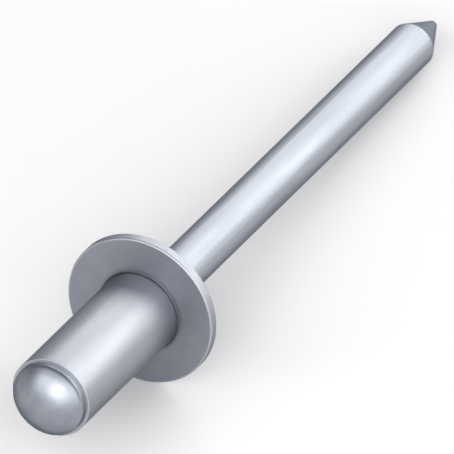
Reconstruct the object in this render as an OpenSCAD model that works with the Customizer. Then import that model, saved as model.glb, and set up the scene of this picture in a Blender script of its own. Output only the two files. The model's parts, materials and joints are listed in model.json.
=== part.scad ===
// Open-end blind rivet, unset: a flanged aluminium tube held on a headed steel pull pin.
// Each piece is drawn upright: z runs along the rivet's axis, from the blind end to the
// pin's point, and z = 0 is the flange's seat. The pair is then laid down on its flange
// rim and on the edge where the pin's cone starts, as it comes to rest on a table.

/* [Rivet body] */
// Outside diameter of the tube
tube_d = 4; // [3.7:0.05:4.4]
// Length of the tube below the flange's seat
tube_l = 8.7; // [6:0.1:20]
// Diameter of the flange
flange_d = 7.55; // [6.6:0.05:8.6]
// Height of the flange's straight rim
rim_h = 0.5; // [0.3:0.05:0.8]
// Rise of the flange's crown above the rim, taken at the axis
crown_h = 0.85; // [0.5:0.05:1.2]
// Rounding of the rim's two edges
rim_edge_r = 0.08; // [0.03:0.01:0.12]
// Fillet between the tube and the flange's seat
seat_fillet_r = 0.1; // [0.04:0.01:0.2]
// Rounding of the tube's outer edge at the blind end
tube_edge_r = 0.04; // [0.02:0.01:0.08]
// Rounding of the bore's mouth in the crown
mouth_r = 0.16; // [0.06:0.01:0.26]

/* [Mandrel head] */
// Bare ring of the tube's end that shows around the head
end_ring_w = 0.17; // [0.1:0.01:0.22]
// Height of the head over the tube's end
head_h = 1.23; // [1.1:0.01:1.4]
// Straight side of the head, up to where its dome would start
head_side_h = 0.29; // [0.25:0.01:0.35]
// Rounding between the head's side and its dome
head_edge_r = 0.3; // [0.1:0.05:0.4]
// Width of the countersink in the tube's end that takes the head's seating cone
countersink_w = 0.3; // [0.1:0.01:0.35]
// Angle of the countersink and of the seating cone, to the rivet's axis
seat_angle = 45; // [35:5:55]

/* [Mandrel pin] */
// Diameter of the pin
pin_d = 2.28; // [2:0.02:2.44]
// Length of pin that stands out of the flange, from the crown to the point
pin_out = 28.15; // [20:0.5:45]
// Length of the cone at the pin's point
point_l = 2.15; // [1.2:0.05:3]
// Diameter of the point's blunt end
point_end_d = 0.42; // [0.2:0.02:0.8]

/* [Break neck] */
// Distance from the tube's end to the middle of the neck
neck_depth = 1.4; // [1.1:0.05:3]
// Width of the square core that the four nicks leave
neck_w = 1.44; // [1.2:0.02:1.5]
// Angle between a nick's flank and its own centre plane
nick_flank = 40; // [30:1:45]
// Rounding at the bottom of a nick
nick_root_r = 0.1; // [0.05:0.01:0.14]

/* [Retaining crimp] */
// Length of pin that the crimp swells
crimp_l = 0.85; // [0.7:0.05:1.2]
// Thickness of the pin between the two pressed dents
crimp_w = 1.7; // [1.5:0.02:1.9]
// Radius of the bar that presses a dent
dent_r = 0.6; // [0.4:0.05:1]

/* [Clearances] */
// Gap all round between the pin and the bore
bore_gap = 0.05; // [0.02:0.01:0.08]
// Gap between the seating cone and the countersink, square to the axis
cone_gap = 0.03; // [0.01:0.01:0.05]
// Gap between the crown and the crimp
crimp_gap = 0.1; // [0.05:0.01:0.2]
// How far the crimp stands past the bore's wall, so that the pin can't drop out
crimp_hold = 0.06; // [0.02:0.01:0.1]

/* [Hidden] */
$fn = 96;

// Overlap of shapes that are joined or cut
lap = 0.2;

tube_r = tube_d / 2;
flange_r = flange_d / 2;
pin_r = pin_d / 2;
bore_r = pin_r + bore_gap;
countersink_r = bore_r + countersink_w;
crown_z = rim_h + crown_h;

head_r = tube_r - end_ring_w;
cone_r = countersink_r - cone_gap;

point_z = crown_z + pin_out;
shoulder_z = point_z - point_l;

neck_z = neck_depth - tube_l;
nick_bottom = neck_w / 2 + nick_root_r;

crimp_z = crown_z + crimp_gap + crimp_l / 2;
crimp_r = bore_r + crimp_hold;

// A domed disc has a straight side of height side_h and a spherical dome that rises
// cap_h above it at the axis. These give the dome's radius, the height of its centre,
// and the height of the centre of a rounding of radius edge_r at a distance r from the axis.
function dome_radius(disc_r, cap_h) = (disc_r * disc_r + cap_h * cap_h) / (2 * cap_h);
function dome_centre(disc_r, side_h, cap_h) = side_h + cap_h - dome_radius(disc_r, cap_h);
function rounding_height(disc_r, side_h, cap_h, edge_r, r) =
    dome_centre(disc_r, side_h, cap_h) + sqrt(pow(dome_radius(disc_r, cap_h) - edge_r, 2) - r * r);

// The rounding at the rim's upper edge, which carries the part when it lies down
rim_round_r = flange_r - rim_edge_r;
rim_round_z = rounding_height(flange_r, rim_h, crown_h, rim_edge_r, rim_round_r);
to_shoulder = [shoulder_z - rim_round_z, rim_round_r - pin_r];

// How far the axis dips from level, towards the pin's point, when the part lies down
rest_tilt = atan2(to_shoulder[1], to_shoulder[0]) + asin(rim_edge_r / norm(to_shoulder));

// What rounding a corner takes away: the sector outside a circle at a given place
module corner_cut(place, r, from, to) {
    reach = 3 * r;
    translate(place) difference() {
        polygon([
            [0, 0],
            reach * [cos(from), sin(from)],
            reach * [cos((from + to) / 2), sin((from + to) / 2)],
            reach * [cos(to), sin(to)]
        ]);
        circle(r);
    }
}

// Half section of a domed disc that stands on z = 0
module domed_disc(disc_r, side_h, cap_h, edge_r) {
    centre_z = dome_centre(disc_r, side_h, cap_h);
    round_z = rounding_height(disc_r, side_h, cap_h, edge_r, disc_r - edge_r);
    difference() {
        intersection() {
            square([disc_r, side_h + cap_h]);
            translate([0, centre_z]) circle(dome_radius(disc_r, cap_h), $fn = 360);
        }
        corner_cut([disc_r - edge_r, round_z], edge_r, 0, atan2(round_z - centre_z, disc_r - edge_r));
    }
}

// Half section of the fillet under the flange
module seat_fillet() {
    translate([tube_r, -seat_fillet_r]) difference() {
        translate([-lap, 0]) square([seat_fillet_r + lap, seat_fillet_r + lap]);
        translate([seat_fillet_r, 0]) circle(seat_fillet_r);
    }
}

// Half section of the bore, with its rounded mouth and the countersink at the blind end
module bore_section() {
    mouth_x = bore_r + mouth_r;
    mouth_z = rounding_height(flange_r, rim_h, crown_h, mouth_r, mouth_x);
    dome_z = dome_centre(flange_r, rim_h, crown_h);
    translate([0, -tube_l - lap]) square([bore_r, tube_l + crown_z + 2 * lap]);
    corner_cut([mouth_x, mouth_z], mouth_r, atan2(mouth_z - dome_z, mouth_x), 180);
    polygon([
        [0, -tube_l - lap],
        [countersink_r, -tube_l - lap],
        [countersink_r, -tube_l],
        [bore_r, -tube_l + countersink_w / tan(seat_angle)],
        [0, -tube_l + countersink_w / tan(seat_angle)]
    ]);
}

module body_section() {
    difference() {
        union() {
            domed_disc(flange_r, rim_h, crown_h, rim_edge_r);
            translate([0, -tube_l]) square([tube_r, tube_l + lap]);
            seat_fillet();
        }
        corner_cut([flange_r - rim_edge_r, rim_edge_r], rim_edge_r, 270, 360);
        corner_cut([tube_r - tube_edge_r, tube_edge_r - tube_l], tube_edge_r, 270, 360);
        bore_section();
    }
}

// Half section of the swelling that the crimp presses out of the pin, a low arc
module crimp_section() {
    swell_h = crimp_r - pin_r;
    arc_r = (pow(crimp_l / 2, 2) + swell_h * swell_h) / (2 * swell_h);
    intersection() {
        translate([crimp_r - arc_r, crimp_z]) circle(arc_r);
        translate([pin_r - lap, crimp_z - crimp_l / 2]) square([lap + swell_h, crimp_l]);
    }
}

module mandrel_section() {
    translate([0, -tube_l]) mirror([0, 1]) {
        domed_disc(head_r, head_side_h, head_h - head_side_h, head_edge_r);
    }
    polygon([
        [0, -tube_l - lap],
        [cone_r, -tube_l - lap],
        [cone_r, -tube_l],
        [pin_r, -tube_l + (cone_r - pin_r) / tan(seat_angle)],
        [pin_r, shoulder_z],
        [point_end_d / 2, point_z],
        [0, point_z]
    ]);
    crimp_section();
}

// One of the four nicks round the break neck, a groove straight across the pin
module neck_nick() {
    reach = pin_r + lap - nick_bottom;
    flank_x = nick_bottom - nick_root_r * sin(nick_flank);
    flank_y = nick_root_r * cos(nick_flank);
    rotate([90, 0, 0]) linear_extrude(height = 2 * (pin_r + lap), center = true) {
        translate([nick_bottom, 0]) circle(nick_root_r);
        polygon([
            [flank_x, -flank_y],
            [flank_x, flank_y],
            [flank_x + reach, flank_y + reach * tan(nick_flank)],
            [flank_x + reach, -flank_y - reach * tan(nick_flank)]
        ]);
    }
}

// One of the two dents of the crimp, left by a round bar pressed across the pin
module crimp_dent() {
    translate([crimp_w / 2 + dent_r, 0, 0]) rotate([90, 0, 0]) {
        cylinder(h = 2 * (crimp_r + lap), r = dent_r, center = true);
    }
}

// Lays an upright piece down: the point ends towards +X, dipping by the rest tilt
module lying() {
    rotate([0, 90 + rest_tilt, 0]) children();
}

module rivet_body() {
    color([0.80, 0.82, 0.86]) lying() rotate_extrude() body_section();
}

module mandrel() {
    color([0.72, 0.75, 0.80]) lying() difference() {
        rotate_extrude() mandrel_section();
        for (turn = [0, 90, 180, 270]) {
            translate([0, 0, neck_z]) rotate([0, 0, turn]) neck_nick();
        }
        for (turn = [0, 180]) {
            translate([0, 0, crimp_z]) rotate([0, 0, turn]) crimp_dent();
        }
    }
}

rivet_body();
mandrel();
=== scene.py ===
import bpy
import json
import math
from mathutils import Matrix, Vector


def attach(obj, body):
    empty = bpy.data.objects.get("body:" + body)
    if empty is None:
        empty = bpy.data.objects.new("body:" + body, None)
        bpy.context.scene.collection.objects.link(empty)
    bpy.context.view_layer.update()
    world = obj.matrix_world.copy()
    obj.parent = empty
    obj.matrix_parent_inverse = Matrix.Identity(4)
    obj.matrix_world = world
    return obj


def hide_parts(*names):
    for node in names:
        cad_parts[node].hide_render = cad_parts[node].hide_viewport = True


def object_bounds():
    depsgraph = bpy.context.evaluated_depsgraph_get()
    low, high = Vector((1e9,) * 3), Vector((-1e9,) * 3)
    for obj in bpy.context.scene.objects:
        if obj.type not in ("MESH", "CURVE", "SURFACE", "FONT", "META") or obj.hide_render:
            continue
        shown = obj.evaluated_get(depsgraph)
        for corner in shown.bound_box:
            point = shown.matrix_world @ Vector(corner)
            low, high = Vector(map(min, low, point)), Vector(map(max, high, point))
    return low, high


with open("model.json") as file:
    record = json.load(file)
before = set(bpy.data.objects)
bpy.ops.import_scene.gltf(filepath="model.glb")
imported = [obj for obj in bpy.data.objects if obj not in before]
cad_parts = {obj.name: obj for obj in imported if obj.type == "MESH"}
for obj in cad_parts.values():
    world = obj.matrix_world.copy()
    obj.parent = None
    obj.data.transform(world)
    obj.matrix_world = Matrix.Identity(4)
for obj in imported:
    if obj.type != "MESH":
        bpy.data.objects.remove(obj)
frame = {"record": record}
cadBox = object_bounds()

mm = 0.001                                   # sizes below are in millimetres, Blender's in metres
seat = next(m for m in frame["record"]["mounts"] if m["name"] == "flange_seat")
rivetAxis = -Vector(seat["axis"])            # from the blind end to the pin's point
lying = Vector((0, 0, 1)).rotation_difference(rivetAxis).to_euler()


def toLinear(code):                          # "#RRGGBB" to linear red, green, blue and alpha
    parts = [int(code[i:i + 2], 16) / 255 for i in (1, 3, 5)]
    return [p / 12.92 if p <= 0.04045 else ((p + 0.055) / 1.055) ** 2.4 for p in parts] + [1.0]


def addNode(tree, kind, inputs=None, **settings):
    node = tree.nodes.new(kind)              # an input is a plain value, or a node or socket to link from
    for name, value in settings.items():
        setattr(node, name, value)
    for name, value in (inputs or {}).items():
        if isinstance(value, bpy.types.Node):
            value = value.outputs[0]
        if isinstance(value, bpy.types.NodeSocket):
            tree.links.new(value, node.inputs[name])
        else:
            node.inputs[name].default_value = value
    return node


# Camera: looks down on the blind end, with the frame's centre a little off the flange's seat

camera = {
    "azimuth": -61.94, "elevation": 37.46,   # degrees
    "frameW": 21.05,                         # width of the picture at the rivet
    "aimRight": 4.05, "aimUp": 3.88,         # from the seat's centre to the picture's centre
    "distance": 1000, "sensorW": 36,         # far off with a long lens, so nearly without perspective
}


def addCamera(c):
    turn, rise = math.radians(c["azimuth"]), math.radians(c["elevation"])
    back = Vector((math.sin(turn) * math.cos(rise), -math.cos(turn) * math.cos(rise), math.sin(rise)))
    right = Vector((math.cos(turn), math.sin(turn), 0))
    up = back.cross(right)
    aim = Vector(seat["pos_m"]) + (right * c["aimRight"] + up * c["aimUp"]) * mm
    data = bpy.data.cameras.new("camera")
    data.sensor_width = c["sensorW"]
    data.lens = c["sensorW"] * c["distance"] / c["frameW"]
    data.clip_start, data.clip_end = 0.1, 10  # metres
    obj = bpy.data.objects.new("camera", data)
    obj.matrix_world = Matrix.Translation(aim + back * c["distance"] * mm) @ Matrix(
        (right, up, back)).transposed().to_4x4()
    bpy.context.scene.collection.objects.link(obj)
    bpy.context.scene.camera = obj


addCamera(camera)
print("camera placed")


# Studio: white paper floor, a room that is pale at the horizon, and five level softboxes round the rivet

studio = {
    "floorSize": 6000,
    "paper": "#EBEAEA",
    "roomLow": "#EDEEF0", "roomHigh": "#7C7D80",   # colour of the room at the horizon and overhead
    "fadeTop": 0.35,                               # sine of the height at which the paler part ends
    "boxes": {                                     # turn from +X and rise in degrees, size in millimetres
        "point_box": {"turn": -15, "rise": 35, "size": (480, 150), "radiance": 2.7},
        "side_box": {"turn": -35, "rise": 12, "size": (360, 80), "radiance": 1.65},
        "near_box": {"turn": 216, "rise": 24, "size": (330, 180), "radiance": 2.4},
        "blind_box": {"turn": 172, "rise": 38, "size": (360, 190), "radiance": 2.55},
        "far_box": {"turn": 40, "rise": 15, "size": (120, 70), "radiance": 1.0},
    },
    "boxDistance": 250,
}


def addFloor(s):
    half = s["floorSize"] / 2 * mm
    low = cadBox[0].z
    mesh = bpy.data.meshes.new("floor")
    corners = [(-half, -half, low), (half, -half, low), (half, half, low), (-half, half, low)]
    mesh.from_pydata(corners, [], [(0, 1, 2, 3)])
    floor = bpy.data.objects.new("floor", mesh)
    bpy.context.scene.collection.objects.link(floor)
    paper = bpy.data.materials.new("floor_paper")
    paper.use_nodes = True
    tree = paper.node_tree
    tree.nodes.clear()
    matt = addNode(tree, "ShaderNodeBsdfDiffuse", {"Color": toLinear(s["paper"])})
    addNode(tree, "ShaderNodeOutputMaterial", {"Surface": matt})
    mesh.materials.append(paper)


def addRoom(s):
    world = bpy.data.worlds.new("room")
    world.use_nodes = True
    tree = world.node_tree
    tree.nodes.clear()
    way = addNode(tree, "ShaderNodeTexCoord").outputs["Generated"]
    height = addNode(tree, "ShaderNodeSeparateXYZ", {0: way}).outputs["Z"]
    fade = addNode(tree, "ShaderNodeMapRange", {"Value": height, "From Min": 0.0, "From Max": s["fadeTop"]},
                   interpolation_type="SMOOTHSTEP")
    tone = addNode(tree, "ShaderNodeMix", {0: fade, 6: toLinear(s["roomLow"]), 7: toLinear(s["roomHigh"])},
                   data_type="RGBA")          # a Mix node's two colours are its inputs 6 and 7
    light = addNode(tree, "ShaderNodeBackground", {"Color": tone.outputs[2]})
    addNode(tree, "ShaderNodeOutputWorld", {"Surface": light})
    bpy.context.scene.world = world


def addSoftbox(name, b, distance):           # aimed at the seat, its long side level
    turn, rise = math.radians(b["turn"]), math.radians(b["rise"])
    back = Vector((math.cos(turn) * math.cos(rise), math.sin(turn) * math.cos(rise), math.sin(rise)))
    side = Vector((-math.sin(turn), math.cos(turn), 0))
    data = bpy.data.lights.new(name, "AREA")
    data.shape = "RECTANGLE"
    data.size, data.size_y = (length * mm for length in b["size"])
    data.energy = b["radiance"] * math.pi * data.size * data.size_y
    obj = bpy.data.objects.new(name, data)
    obj.matrix_world = Matrix.Translation(back * distance * mm) @ Matrix(
        (side, back.cross(side), back)).transposed().to_4x4()
    bpy.context.scene.collection.objects.link(obj)


bpy.context.scene.view_settings.view_transform = "Standard"
addFloor(studio)
addRoom(studio)
for name, box in studio["boxes"].items():
    addSoftbox(name, box, studio["boxDistance"])
print("studio lit")


# Finishes. Patterns read Object coordinates, turned and scaled to the upright rivet's millimetres

noiseSpan = (0.3, 0.7)                       # nearly all of a Noise Texture's values lie between these
bareSpan, leastBare = (0.35, 0.6), 0.35      # grain over which a rubbed edge goes bare, and its least share


def newFinish(name):                         # also gives the place on the upright rivet and how far out it is
    material = bpy.data.materials.new(name)
    material.use_nodes = True
    tree = material.node_tree
    tree.nodes.clear()
    lain = addNode(tree, "ShaderNodeTexCoord").outputs["Object"]
    place = addNode(tree, "ShaderNodeMapping", {"Vector": lain, "Rotation": lying, "Scale": (mm, mm, mm)},
                    vector_type="TEXTURE")
    across = addNode(tree, "ShaderNodeVectorMath", {0: place, 1: (1, 1, 0)}, operation="MULTIPLY")
    radius = addNode(tree, "ShaderNodeVectorMath", {0: across}, operation="LENGTH").outputs["Value"]
    return material, tree, place, radius


def drawnMarks(tree, place, width, stretch=1, detail=4.0):    # a noise, stretched along the axis
    along = addNode(tree, "ShaderNodeMapping", {"Vector": place, "Scale": (1, 1, 1 / stretch)})
    return addNode(tree, "ShaderNodeTexNoise", {"Vector": along, "Scale": 1 / width, "Detail": detail})


def wornEdges(tree, grain):                  # the edges that were rubbed, patchy with the grain
    rubbed = addNode(tree, "ShaderNodeAttribute", attribute_name="wear").outputs["Fac"]
    patchy = addNode(tree, "ShaderNodeMapRange", {
        "Value": grain, "From Min": bareSpan[0], "From Max": bareSpan[1], "To Min": leastBare})
    return addNode(tree, "ShaderNodeMath", {0: rubbed, 1: patchy}, operation="MULTIPLY")


def metalColour(tree, f, film, tints, shine):    # clean metal and its film, painted shade by zone and in corners, worn bits last
    cloudy = addNode(tree, "ShaderNodeMapRange", {
        "Value": film, "From Min": noiseSpan[0], "From Max": noiseSpan[1]})
    colour = addNode(tree, "ShaderNodeMix", {0: cloudy, 6: toLinear(f["clean"]), 7: toLinear(f["film"])},
                     data_type="RGBA").outputs[2]
    # painted shade in inner corners, read from an attribute stored by the turning trees
    nook = addNode(tree, "ShaderNodeAttribute", attribute_name="nook").outputs["Fac"]
    for zone, tint in tints + [(nook, f["cornerShadeTint"])]:
        colour = addNode(tree, "ShaderNodeMix", {0: zone, 6: colour, 7: toLinear(tint)},
                         data_type="RGBA", blend_type="MULTIPLY").outputs[2]
    return addNode(tree, "ShaderNodeMix", {0: shine, 6: colour, 7: toLinear(f["worn"])},
                   data_type="RGBA").outputs[2]


def metalRoughness(tree, f, film, marks, changes):    # follows the film and the marks, changed by zone
    mixed = addNode(tree, "ShaderNodeMix", {0: f["marksShare"], 2: film, 3: marks})
    rough = addNode(tree, "ShaderNodeMapRange", {
        "Value": mixed, "From Min": noiseSpan[0], "From Max": noiseSpan[1],
        "To Min": f["rough"][0], "To Max": f["rough"][1]})
    for zone, change in changes:
        rough = addNode(tree, "ShaderNodeMath", {0: zone, 1: change, 2: rough}, operation="MULTIPLY_ADD")
    return rough


def finishMetal(tree, f, colour, rough, patterns):    # each pattern stands up, or is pressed in, by its depth
    relief = 0.0
    for pattern, depth in patterns:
        relief = addNode(tree, "ShaderNodeMath", {0: pattern, 1: depth, 2: relief}, operation="MULTIPLY_ADD")
    bump = addNode(tree, "ShaderNodeBump", {"Height": relief, "Distance": mm, "Strength": 1.0})
    metal = addNode(tree, "ShaderNodeBsdfPrincipled", {
        "Base Color": colour, "Metallic": 1.0, "Roughness": rough, "Normal": bump,
        "Specular Tint": toLinear(f["edgeTint"])})
    addNode(tree, "ShaderNodeOutputMaterial", {"Surface": metal})


# Cold-formed aluminium, tumbled: an even satin with a thin cloudy oxide film. The tube keeps faint draw
# lines and the flange the dies' rings. The flange's faces are matter from the dies and carry painted shade,
# a darker colour; rubbed edges and small nicks from the tumbling barrel shine. The real grain, lines and
# rings are 0.02 wide, too fine to show, so they are drawn about six times as wide

aluminium = {
    "clean": "#AAADB3", "film": "#A2A5AB", "filmW": 0.9, "filmStretch": 8,
    "flangeFacesShadeTint": "#E1E2E5",                # painted shade: times this colour on the flange's faces
    "worn": "#B3B6BC",
    "cornerShadeTint": "#898B90",                   # painted shade: times this colour in the corner under the flange, never rubbed
    "edgeTint": "#696C72",                   # satin metal darkens where it is seen edge on
    "rough": (0.42, 0.47), "marksShare": 0.4, "pressedRough": 0.03, "wornRough": -0.04,
    "grainW": 0.11, "grainDepth": 0.004,
    "lineW": 0.13, "lineStretch": 50, "lineDepth": 0.008,
    "ringW": 0.15, "ringDepth": 0.006,
    "nickStep": 0.6, "nickW": 0.2, "nickDepth": 0.004, "nickShine": 0.15,
    "zoneFade": 0.04,                        # half the width over which tube, faces and rim blend
}


def aluminiumTumbled(a, flangeFrom, rimFrom):
    material, tree, place, radius = newFinish("aluminium_tumbled_satin")
    film = drawnMarks(tree, place, a["filmW"], a["filmStretch"], detail=3.0)
    grain = drawnMarks(tree, place, a["grainW"])
    lines = drawnMarks(tree, place, a["lineW"], a["lineStretch"], detail=2.0)
    rings = addNode(tree, "ShaderNodeTexNoise", {"W": radius, "Scale": 1 / a["ringW"], "Detail": 2.0},
                    noise_dimensions="1D")
    cells = addNode(tree, "ShaderNodeTexVoronoi", {"Vector": place, "Scale": 1 / a["nickStep"]})
    nicks = addNode(tree, "ShaderNodeMapRange", {
        "Value": cells.outputs["Distance"], "From Min": 0.0, "From Max": a["nickW"] / 2 / a["nickStep"],
        "To Min": 1.0, "To Max": 0.0}, interpolation_type="SMOOTHSTEP")
    flange, rim = [addNode(tree, "ShaderNodeMapRange", {
        "Value": radius, "From Min": start - a["zoneFade"], "From Max": start + a["zoneFade"]})
        for start in (flangeFrom, rimFrom)]
    onTube = addNode(tree, "ShaderNodeMath", {0: 1.0, 1: flange}, operation="SUBTRACT")
    onFaces = addNode(tree, "ShaderNodeMath", {0: flange, 1: rim}, operation="SUBTRACT")
    worn = wornEdges(tree, grain)
    shine = addNode(tree, "ShaderNodeMath", {0: nicks, 1: a["nickShine"], 2: worn},
                    operation="MULTIPLY_ADD", use_clamp=True)
    tubeLines = addNode(tree, "ShaderNodeMath", {0: lines, 1: onTube}, operation="MULTIPLY")
    dieRings = addNode(tree, "ShaderNodeMath", {0: rings, 1: flange}, operation="MULTIPLY")

    # the flange's faces get painted shade, a darker colour
    colour = metalColour(tree, a, film, [(onFaces, a["flangeFacesShadeTint"])], shine)
    rough = metalRoughness(tree, a, film, grain, [(onFaces, a["pressedRough"]), (shine, a["wornRough"])])
    finishMetal(tree, a, colour, rough, [
        (grain, a["grainDepth"]), (tubeLines, a["lineDepth"]), (dieRings, a["ringDepth"]),
        (nicks, -a["nickDepth"])])
    return material


# Cold-headed steel wire with thin clear zinc: cooler than the body, with long draw lines down the pin.
# The head is smoother from its die and the point matt where it was nipped off after plating; both carry
# painted shade, a darker colour. Its grain, lines and rings are drawn as coarse as the body's

steel = {
    "clean": "#ADB1B8", "film": "#9FA3AA", "filmW": 0.6, "filmStretch": 12,
    "headShadeTint": "#E7E8EB",                 # painted shade: times this colour on the head
    "pointShadeTint": "#E2E3E6",                 # painted shade: times this colour on the point
    "worn": "#C6C9CE",
    "cornerShadeTint": "#A4A6AB",                   # painted shade: times this colour in the nicks and at the foot of the crimp
    "edgeTint": "#6A6D73",                   # drawn metal darkens where it is seen edge on
    "rough": (0.39, 0.45), "marksShare": 0.5,
    "headedRough": -0.03, "nippedRough": 0.08, "wornRough": -0.08,
    "grainW": 0.1, "grainDepth": 0.0025,
    "lineW": 0.12, "lineStretch": 80, "lineDepth": 0.008,
    "ringW": 0.2, "ringDepth": 0.003,
    "nipW": 0.14, "nipStretch": 0.4, "nipDepth": 0.005,
    "headFade": 0.02, "pointFade": 0.03,     # half the widths over which the ends pass into the pin
}


def steelDrawn(s, headUpTo, pointFrom):
    material, tree, place, radius = newFinish("steel_wire_drawn_zinc")
    height = addNode(tree, "ShaderNodeSeparateXYZ", {0: place}).outputs["Z"]
    film = drawnMarks(tree, place, s["filmW"], s["filmStretch"], detail=3.0)
    grain = drawnMarks(tree, place, s["grainW"])
    lines = drawnMarks(tree, place, s["lineW"], s["lineStretch"], detail=2.0)
    nipping = drawnMarks(tree, place, s["nipW"], s["nipStretch"])
    rings = addNode(tree, "ShaderNodeTexNoise", {"W": radius, "Scale": 1 / s["ringW"], "Detail": 2.0},
                    noise_dimensions="1D")
    headed = addNode(tree, "ShaderNodeMapRange", {
        "Value": height, "From Min": headUpTo - s["headFade"], "From Max": headUpTo + s["headFade"],
        "To Min": 1.0, "To Max": 0.0})
    nipped = addNode(tree, "ShaderNodeMapRange", {
        "Value": height, "From Min": pointFrom - s["pointFade"], "From Max": pointFrom + s["pointFade"]})
    ends = addNode(tree, "ShaderNodeMath", {0: headed, 1: nipped}, operation="ADD")
    onPin = addNode(tree, "ShaderNodeMath", {0: 1.0, 1: ends}, operation="SUBTRACT")
    worn = wornEdges(tree, grain)
    pinLines = addNode(tree, "ShaderNodeMath", {0: lines, 1: onPin}, operation="MULTIPLY")
    headRings = addNode(tree, "ShaderNodeMath", {0: rings, 1: headed}, operation="MULTIPLY")
    nipMarks = addNode(tree, "ShaderNodeMath", {0: nipping, 1: nipped}, operation="MULTIPLY")

    # painted shade on the head and the point
    colour = metalColour(tree, s, film, [(headed, s["headShadeTint"]), (nipped, s["pointShadeTint"])], worn)
    rough = metalRoughness(tree, s, film, lines, [
        (headed, s["headedRough"]), (nipped, s["nippedRough"]), (worn, s["wornRough"])])
    finishMetal(tree, s, colour, rough, [
        (grain, s["grainDepth"]), (pinLines, s["lineDepth"]), (headRings, s["ringDepth"]),
        (nipMarks, s["nipDepth"])])
    return material


# Outlines: half sections of the two turned pieces, as (distance from the axis, height along it)

def arc(centre, radius, start, end, steps):
    turns = [math.radians(start + (end - start) * i / steps) for i in range(steps + 1)]
    return [(centre[0] + radius * math.cos(t), centre[1] + radius * math.sin(t)) for t in turns]


def domeOn(radius, side, rise):              # the sphere of a dome: its radius, and its centre's height
    sphere = (radius ** 2 + rise ** 2) / (2 * rise)
    return sphere, side + rise - sphere


def roundingOn(dome, edge, distance):        # height and tangent angle of an edge rounding under a dome
    sphere, centre = dome
    height = centre + math.sqrt((sphere - edge) ** 2 - distance ** 2)
    return height, math.degrees(math.atan2(height - centre, distance))


def holdStraights(points, closed, gap=0.12):    # points near the ends of straights, where edge wear stops
    held = []
    for start, end in zip(points, points[1:] + points[:1]):
        held.append(start)
        length = math.dist(start, end)
        if length > 3 * gap and (closed or end != points[0]):
            for share in (gap / length, 1 - gap / length):
                held.append(tuple(a + (b - a) * share for a, b in zip(start, end)))
    return held


def makeOutline(name, points, closed):
    held = holdStraights(points, closed)
    curve = bpy.data.curves.new(name, "CURVE")
    curve.dimensions = "3D"
    spline = curve.splines.new("POLY")
    spline.points.add(len(held) - 1)
    for point, (distance, height) in zip(spline.points, held):
        point.co = (distance * mm, height * mm, 0, 1)
    spline.use_cyclic_u = closed
    return bpy.data.objects.new(name, curve)


# Geometry Nodes: a piece is turned from its outline, cut where it was pressed, laid down and finished

def newTree(name, sockets):
    tree = bpy.data.node_groups.new(name, "GeometryNodeTree")
    for label, kind in sockets.items():
        tree.interface.new_socket(label, in_out="INPUT", socket_type="NodeSocket" + kind)
    tree.interface.new_socket("Geometry", in_out="OUTPUT", socket_type="NodeSocketGeometry")
    return tree, addNode(tree, "NodeGroupInput").outputs


turningSockets = {"Outline": "Object", "Segments": "Int", "Path Radius": "Float", "Merge Distance": "Float",
                  "Sharp Angle": "Float", "Fold From": "Float", "Fold Full": "Float",
                  "Lay Down": "Rotation", "Finish": "Material"}
cornerShare = 1.7                            # inner corners lie beside outer folds, so their painted shade counts more


def turnOutline(tree, given):                # sweeps the outline round a circle of the path radius
    path = addNode(tree, "GeometryNodeCurvePrimitiveCircle",
                   {"Resolution": given["Segments"], "Radius": given["Path Radius"]})
    level = addNode(tree, "GeometryNodeSetCurveNormal", {"Curve": path}, mode="Z_UP")
    outline = addNode(tree, "GeometryNodeObjectInfo", {"Object": given["Outline"]})
    inward = addNode(tree, "ShaderNodeMath", {0: given["Path Radius"], 1: -1.0}, operation="MULTIPLY")
    shift = addNode(tree, "ShaderNodeCombineXYZ", {"X": inward})
    section = addNode(tree, "GeometryNodeTransform", {"Geometry": outline.outputs["Geometry"],
                                                      "Translation": shift})
    swept = addNode(tree, "GeometryNodeCurveToMesh", {"Curve": level, "Profile Curve": section})
    closed = addNode(tree, "GeometryNodeMergeByDistance", {"Geometry": swept,
                                                           "Distance": given["Merge Distance"]})
    return addNode(tree, "GeometryNodeTransform", {        # the sweep comes out upside down
        "Geometry": closed, "Rotation": (math.pi, 0, 0)})


def layAndFinish(tree, given, geometry):
    laid = addNode(tree, "GeometryNodeTransform", {"Geometry": geometry, "Rotation": given["Lay Down"]})
    smooth = addNode(tree, "GeometryNodeSetShadeSmooth", {"Geometry": laid}, domain="FACE")
    folds = addNode(tree, "GeometryNodeInputMeshEdgeAngle").outputs
    creased = addNode(tree, "ShaderNodeMath", {0: folds["Unsigned Angle"], 1: given["Sharp Angle"]},
                      operation="GREATER_THAN")
    marked = addNode(tree, "GeometryNodeSetShadeSmooth", {"Geometry": smooth, "Selection": creased,
                                                          "Shade Smooth": False}, domain="EDGE")
    for label, share in (("wear", 1.0), ("nook", -cornerShare)):    # outer edges wear, inner corners get painted shade
        bend = addNode(tree, "ShaderNodeMath", {0: folds["Signed Angle"], 1: share}, operation="MULTIPLY")
        amount = addNode(tree, "ShaderNodeMapRange", {"Value": bend, "From Min": given["Fold From"],
                                                      "From Max": given["Fold Full"]})
        marked = addNode(tree, "GeometryNodeStoreNamedAttribute", {"Geometry": marked, "Name": label,
                                                                   "Value": amount}, domain="POINT")
    whole = addNode(tree, "GeometryNodeRealizeInstances", {"Geometry": marked})
    painted = addNode(tree, "GeometryNodeSetMaterial", {"Geometry": whole, "Material": given["Finish"]})
    addNode(tree, "NodeGroupOutput", {"Geometry": painted})


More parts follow.
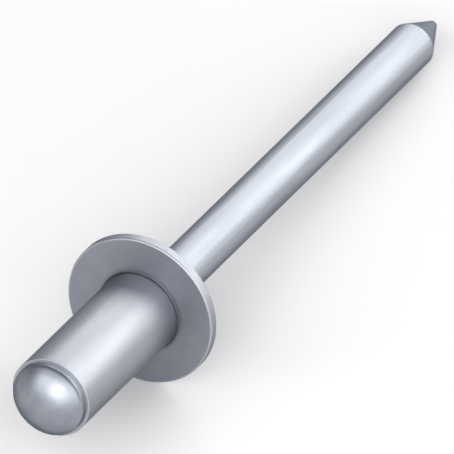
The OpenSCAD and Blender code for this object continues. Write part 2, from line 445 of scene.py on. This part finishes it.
def ringOf(tree, cutter, count, height):     # copies of a cutter spread evenly round the pin
    spot = addNode(tree, "ShaderNodeCombineXYZ", {"Z": height})
    points = addNode(tree, "GeometryNodePoints", {"Count": count, "Position": spot})
    index = addNode(tree, "GeometryNodeInputIndex")
    turns = addNode(tree, "ShaderNodeMath", {0: index, 1: count}, operation="DIVIDE")
    angle = addNode(tree, "ShaderNodeMath", {0: turns, 1: 2 * math.pi}, operation="MULTIPLY")
    about = addNode(tree, "ShaderNodeCombineXYZ", {"Z": angle})
    rotation = addNode(tree, "FunctionNodeEulerToRotation", {0: about})
    copies = addNode(tree, "GeometryNodeInstanceOnPoints", {"Points": points, "Instance": cutter,
                                                            "Rotation": rotation})
    return addNode(tree, "GeometryNodeRealizeInstances", {"Geometry": copies})


def nickCutter(tree, given):                 # a bar of kite section, its tip rounded, across the pin
    under = addNode(tree, "ShaderNodeMath", {0: given["Nick Half Width"], 1: -1.0}, operation="MULTIPLY")
    tip = addNode(tree, "ShaderNodeCombineXYZ", {"X": given["Nick Tip"]})
    low = addNode(tree, "ShaderNodeCombineXYZ", {"X": given["Nick Mouth"], "Y": under})
    far = addNode(tree, "ShaderNodeCombineXYZ", {"X": given["Nick Back"]})
    high = addNode(tree, "ShaderNodeCombineXYZ", {"X": given["Nick Mouth"], "Y": given["Nick Half Width"]})
    kite = addNode(tree, "GeometryNodeCurvePrimitiveQuadrilateral",
                   {"Point 1": tip, "Point 2": low, "Point 3": far, "Point 4": high}, mode="POINTS")
    index = addNode(tree, "GeometryNodeInputIndex")
    first = addNode(tree, "ShaderNodeMath", {0: index, 1: 0.5}, operation="LESS_THAN")    # the tip alone
    root = addNode(tree, "ShaderNodeMath", {0: first, 1: given["Nick Root"]}, operation="MULTIPLY")
    rounded = addNode(tree, "GeometryNodeFilletCurve", {"Curve": kite, "Count": 8, "Radius": root},
                      mode="POLY")
    before = addNode(tree, "ShaderNodeMath", {0: given["Cutter Length"], 1: -0.5}, operation="MULTIPLY")
    after = addNode(tree, "ShaderNodeMath", {0: given["Cutter Length"], 1: 0.5}, operation="MULTIPLY")
    start = addNode(tree, "ShaderNodeCombineXYZ", {"Y": before})
    end = addNode(tree, "ShaderNodeCombineXYZ", {"Y": after})
    path = addNode(tree, "GeometryNodeCurvePrimitiveLine", {"Start": start, "End": end})
    level = addNode(tree, "GeometryNodeSetCurveNormal", {"Curve": path}, mode="Z_UP")
    bar = addNode(tree, "GeometryNodeCurveToMesh", {"Curve": level, "Profile Curve": rounded,
                                                    "Fill Caps": True})
    return addNode(tree, "GeometryNodeMergeByDistance", {"Geometry": bar,
                                                         "Distance": given["Merge Distance"]})


def dentBar(tree, given):                    # a round bar across the pin
    bar = addNode(tree, "GeometryNodeMeshCylinder", {
        "Vertices": given["Segments"], "Radius": given["Dent Radius"], "Depth": given["Cutter Length"]})
    spot = addNode(tree, "ShaderNodeCombineXYZ", {"X": given["Dent Middle"]})
    return addNode(tree, "GeometryNodeTransform", {"Geometry": bar, "Translation": spot,
                                                   "Rotation": (math.pi / 2, 0, 0)})


def makePiece(name, tree, values):
    piece = bpy.data.objects.new(name, bpy.data.meshes.new(name))
    bpy.context.scene.collection.objects.link(piece)
    turning = piece.modifiers.new("turning", "NODES")
    turning.node_group = tree
    for socket in tree.interface.items_tree:
        if socket.in_out == "INPUT":
            turning[socket.identifier] = values[socket.name]
    even = piece.modifiers.new("even_normals", "WEIGHTED_NORMAL")   # keeps flats flat beside roundings
    even.keep_sharp = True
    bpy.context.view_layer.update()
    graph = bpy.context.evaluated_depsgraph_get()
    made = bpy.data.meshes.new_from_object(piece.evaluated_get(graph), depsgraph=graph)
    piece.modifiers.clear()
    piece.data = made
    made.name = name
    print(name, "made:", len(made.vertices), "points,", len(made.polygons), "faces")
    return piece


turning = {"Merge Distance": 0.001 * mm, "Sharp Angle": math.radians(30), "Fold From": 0.05,
           "Fold Full": 0.12, "Lay Down": lying}     # folds in radians


# Aluminium body: tube and flange in one, cold formed round its bore

body = {
    "tubeD": 4.0, "tubeL": 8.7, "tubeEdge": 0.04, "seatFillet": 0.1,
    "flangeD": 7.55, "rimH": 0.5, "crownH": 0.85, "rimEdge": 0.08,
    "boreD": 2.38, "mouthEdge": 0.16, "countersinkW": 0.3, "seatAngle": 45,
    "segments": 192,
}


def bodyOutline(b):
    tubeR, flangeR, boreR = b["tubeD"] / 2, b["flangeD"] / 2, b["boreD"] / 2
    dome = domeOn(flangeR, b["rimH"], b["crownH"])
    rimZ, rimAngle = roundingOn(dome, b["rimEdge"], flangeR - b["rimEdge"])
    mouthX = boreR + b["mouthEdge"]
    mouthZ, mouthAngle = roundingOn(dome, b["mouthEdge"], mouthX)
    coneTop = b["countersinkW"] / math.tan(math.radians(b["seatAngle"])) - b["tubeL"]
    return (
        [(boreR + b["countersinkW"], -b["tubeL"])]
        + arc((tubeR - b["tubeEdge"], b["tubeEdge"] - b["tubeL"]), b["tubeEdge"], -90, 0, steps=6)
        + arc((tubeR + b["seatFillet"], -b["seatFillet"]), b["seatFillet"], 180, 90, steps=8)
        + arc((flangeR - b["rimEdge"], b["rimEdge"]), b["rimEdge"], -90, 0, steps=8)
        + arc((flangeR - b["rimEdge"], rimZ), b["rimEdge"], 0, rimAngle, steps=8)
        + arc((0, dome[1]), dome[0], rimAngle, mouthAngle, steps=24)[1:]
        + arc((mouthX, mouthZ), b["mouthEdge"], mouthAngle, 180, steps=12)[1:]
        + [(boreR, coneTop)]
    )


bodyTree, given = newTree("turned_body", turningSockets)
layAndFinish(bodyTree, given, turnOutline(bodyTree, given))
rivetBody = makePiece("rivet_body_formed", bodyTree, turning | {
    "Outline": makeOutline("body_outline", bodyOutline(body), True), "Segments": body["segments"],
    "Path Radius": body["tubeD"] / 2 * mm,
    "Finish": aluminiumTumbled(aluminium, body["tubeD"] / 2 + body["seatFillet"],
                               body["flangeD"] / 2 - body["rimEdge"])})
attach(rivetBody, "root")
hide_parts("rivet_body")


# Steel mandrel: headed wire with a pointed end, nicked to break and crimped to stay in the body

mandrel = {
    "headD": 3.66, "headH": 1.23, "headSide": 0.29, "headEdge": 0.3, "coneD": 2.92,
    "pinD": 2.28, "pinOut": 28.15, "pointL": 2.15, "pointD": 0.42,
    "neckDepth": 1.4, "neckW": 1.44, "nickFlank": 40, "nickRoot": 0.1, "nicks": 4,
    "crimpUp": 0.525, "crimpL": 0.85, "crimpD": 2.5, "crimpW": 1.7, "dentR": 0.6, "dents": 2,
    "cutterLap": 0.2, "segments": 160,
}


crownTop = body["rimH"] + body["crownH"]


def mandrelOutline(m, b, crown):
    headR, pinR, crimpR = m["headD"] / 2, m["pinD"] / 2, m["crimpD"] / 2
    tubeEnd = -b["tubeL"]
    dome = domeOn(headR, m["headSide"], m["headH"] - m["headSide"])
    edgeZ, edgeAngle = roundingOn(dome, m["headEdge"], headR - m["headEdge"])
    coneTop = tubeEnd + (m["coneD"] / 2 - pinR) / math.tan(math.radians(b["seatAngle"]))
    swell = crimpR - pinR
    bow = ((m["crimpL"] / 2) ** 2 + swell ** 2) / (2 * swell)
    bowAngle = math.degrees(math.asin(m["crimpL"] / 2 / bow))
    point = crown + m["pinOut"]
    return (
        arc((0, tubeEnd - dome[1]), dome[0], -90, -edgeAngle, steps=20)
        + arc((headR - m["headEdge"], tubeEnd - edgeZ), m["headEdge"], -edgeAngle, 0, steps=12)[1:]
        + [(headR, tubeEnd), (m["coneD"] / 2, tubeEnd), (pinR, coneTop)]
        + arc((crimpR - bow, crown + m["crimpUp"]), bow, -bowAngle, bowAngle, steps=16)
        + [(pinR, point - m["pointL"]), (m["pointD"] / 2, point), (0, point)]
    )


mandrelTree, given = newTree("pressed_mandrel", turningSockets | {
    "Nicks": "Int", "Neck Height": "Float", "Nick Tip": "Float", "Nick Mouth": "Float",
    "Nick Back": "Float", "Nick Half Width": "Float", "Nick Root": "Float", "Dents": "Int",
    "Crimp Height": "Float", "Dent Middle": "Float", "Dent Radius": "Float", "Cutter Length": "Float"})
cut = addNode(mandrelTree, "GeometryNodeMeshBoolean", {"Mesh 1": turnOutline(mandrelTree, given)},
              operation="DIFFERENCE", solver="EXACT")
for cutter, count, height in ((nickCutter(mandrelTree, given), "Nicks", "Neck Height"),
                              (dentBar(mandrelTree, given), "Dents", "Crimp Height")):
    ring = ringOf(mandrelTree, cutter, given[count], given[height])
    mandrelTree.links.new(ring.outputs[0], cut.inputs["Mesh 2"])
joined = addNode(mandrelTree, "GeometryNodeMergeByDistance", {"Geometry": cut,
                                                              "Distance": given["Merge Distance"]})
layAndFinish(mandrelTree, given, joined)

nickSlope = math.radians(mandrel["nickFlank"])
nickTip = mandrel["neckW"] / 2 + mandrel["nickRoot"] - mandrel["nickRoot"] / math.sin(nickSlope)
nickMouth = mandrel["pinD"] / 2 + mandrel["cutterLap"]
pulledPin = makePiece("mandrel_headed", mandrelTree, turning | {
    "Outline": makeOutline("mandrel_outline", mandrelOutline(mandrel, body, crownTop), False),
    "Segments": mandrel["segments"], "Path Radius": mandrel["pinD"] / 2 * mm,
    "Finish": steelDrawn(steel, -body["tubeL"], crownTop + mandrel["pinOut"] - mandrel["pointL"]),
    "Nicks": mandrel["nicks"], "Neck Height": (mandrel["neckDepth"] - body["tubeL"]) * mm,
    "Nick Tip": nickTip * mm, "Nick Mouth": nickMouth * mm,
    "Nick Back": (2 * nickMouth - nickTip) * mm,
    "Nick Half Width": (nickMouth - nickTip) * math.tan(nickSlope) * mm,
    "Nick Root": mandrel["nickRoot"] * mm,
    "Dents": mandrel["dents"], "Crimp Height": (crownTop + mandrel["crimpUp"]) * mm,
    "Dent Middle": (mandrel["crimpW"] / 2 + mandrel["dentR"]) * mm, "Dent Radius": mandrel["dentR"] * mm,
    "Cutter Length": (mandrel["crimpD"] + 2 * mandrel["cutterLap"]) * mm})
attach(pulledPin, "root")
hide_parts("mandrel")
